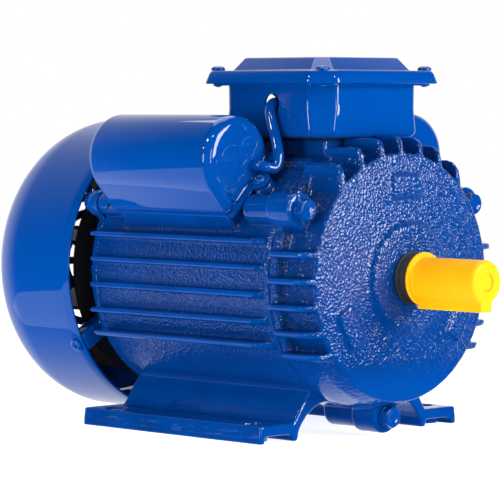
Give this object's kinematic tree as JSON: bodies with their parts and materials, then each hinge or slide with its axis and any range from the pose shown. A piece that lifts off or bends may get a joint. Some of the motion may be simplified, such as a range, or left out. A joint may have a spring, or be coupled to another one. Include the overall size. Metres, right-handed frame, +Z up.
{
  "type": "electric motor",
  "caption": "Foot-mounted fan-cooled single-phase induction motor with finned cast frame, terminal box, two capacitor covers and a keyed shaft under a pull-off cap.",
  "frame": {"origin": "on the mounting plane under the feet, midway between the four foot holes", "axes": "+X along the shaft, out of the drive end; +Z up; the shaft axis is 80 mm above the origin; +Y completes the right-handed frame"},
  "size_m": [0.2911, 0.1724, 0.1893],
  "materials": {
    "cast_paint": "glossy blue enamel over rough sand casting",
    "sheet_paint": "smooth glossy blue enamel over pressed steel",
    "dark_steel": "dark zinc or oiled steel",
    "bright_steel": "ground or rolled bare steel",
    "varnished_wire": "red-brown insulating varnish on enamelled wire",
    "copper_wire": "clear varnish on enamelled copper wire",
    "black_rubber": "matt black rubber",
    "brown_board": "brown phenolic board",
    "brass": "plain brass",
    "black_plastic": "black moulded plastic",
    "white_plastic": "white moulded plastic",
    "cast_alloy": "die cast aluminium",
    "yellow_plastic": "satin yellow moulded plastic"
  },
  "bodies": {
    "motor": {"motor_frame": "cast_paint", "drive_end_shield": "cast_paint", "rear_end_shield": "cast_paint", "front_shield_bolts": "cast_paint", "front_spring_washers": "cast_paint", "rear_shield_bolts": "cast_paint", "fan_cowl": "sheet_paint", "cowl_screws": "sheet_paint", "stator_core": "bright_steel", "main_winding": "varnished_wire", "start_winding": "copper_wire", "winding_leads": "black_rubber", "terminal_box": "sheet_paint", "box_gasket": "black_rubber", "terminal_lid": "sheet_paint", "lid_gasket": "black_rubber", "lid_screws": "sheet_paint", "box_screws": "bright_steel", "terminal_board": "brown_board", "terminal_studs": "brass", "terminal_nuts": "brass", "terminal_links": "brass", "earth_screw": "bright_steel", "left_cover": "sheet_paint", "right_cover": "sheet_paint", "cover_gaskets": "black_rubber", "cover_screws": "sheet_paint", "start_capacitor": "black_plastic", "run_capacitor": "white_plastic", "capacitor_straps": "bright_steel", "left_sleeve": "sheet_paint", "right_sleeve": "sheet_paint", "front_bearing_outer": "bright_steel", "rear_bearing_outer": "bright_steel", "wave_washer": "bright_steel", "switch_board": "brown_board", "switch_contacts": "brass"},
    "rotor": {"shaft": "bright_steel", "shaft_key": "dark_steel", "rotor_core": "dark_steel", "rotor_cage": "cast_alloy", "front_bearing_inner": "bright_steel", "rear_bearing_inner": "bright_steel", "seal_ring": "black_rubber", "governor_plate": "bright_steel", "cooling_fan": "black_plastic", "fan_circlip": "dark_steel"},
    "front_ball_set": {"front_bearing_cage": "brass", "front_bearing_balls": "bright_steel"},
    "rear_ball_set": {"rear_bearing_cage": "brass", "rear_bearing_balls": "bright_steel"},
    "collar": {"governor_collar": "white_plastic"},
    "left_weight": {"left_flyweight": "dark_steel"},
    "right_weight": {"right_flyweight": "dark_steel"},
    "contact_arm": {"switch_arm": "brass"},
    "transport_cap": {"shaft_cap": "yellow_plastic"}
  },
  "joints": [
    {"name": "rotor_spin", "type": "hinge", "parent": "motor", "child": "rotor", "pos_m": [0, 0, 0.08], "axis": [1, 0, 0], "continuous": true},
    {"name": "front_balls_orbit", "type": "hinge", "parent": "motor", "child": "front_ball_set", "pos_m": [0.0906, 0, 0.08], "axis": [1, 0, 0], "continuous": true},
    {"name": "rear_balls_orbit", "type": "hinge", "parent": "motor", "child": "rear_ball_set", "pos_m": [-0.0732, 0, 0.08], "axis": [1, 0, 0], "continuous": true},
    {"name": "collar_slide", "type": "slide", "parent": "rotor", "child": "collar", "axis": [1, 0, 0], "range_m": [0, 0.0015], "stiffness_N_per_m": 300, "springref_m": -0.001},
    {"name": "left_weight_swing", "type": "hinge", "parent": "rotor", "child": "left_weight", "pos_m": [-0.0526, -0.0212, 0.08], "axis": [0, 0, 1], "range_deg": [0, 7]},
    {"name": "right_weight_swing", "type": "hinge", "parent": "rotor", "child": "right_weight", "pos_m": [-0.0526, 0.0212, 0.08], "axis": [0, 0, -1], "range_deg": [0, 7]},
    {"name": "contact_arm_swing", "type": "hinge", "parent": "motor", "child": "contact_arm", "pos_m": [-0.0583, 0, 0.034], "axis": [0, 1, 0], "range_deg": [0, 3.3]},
    {"name": "cap_pull", "type": "slide", "parent": "rotor", "child": "transport_cap", "axis": [1, 0, 0], "range_m": [0, 0.05]}
  ],
  "couplings": [
    {"joint": "front_balls_orbit", "follows": "rotor_spin", "ratio": 0.3836},
    {"joint": "rear_balls_orbit", "follows": "rotor_spin", "ratio": 0.3877},
    {"joint": "left_weight_swing", "follows": "collar_slide", "rad_per_m": 80},
    {"joint": "right_weight_swing", "follows": "collar_slide", "rad_per_m": 80},
    {"joint": "contact_arm_swing", "follows": "collar_slide", "rad_per_m": 36}
  ]
}
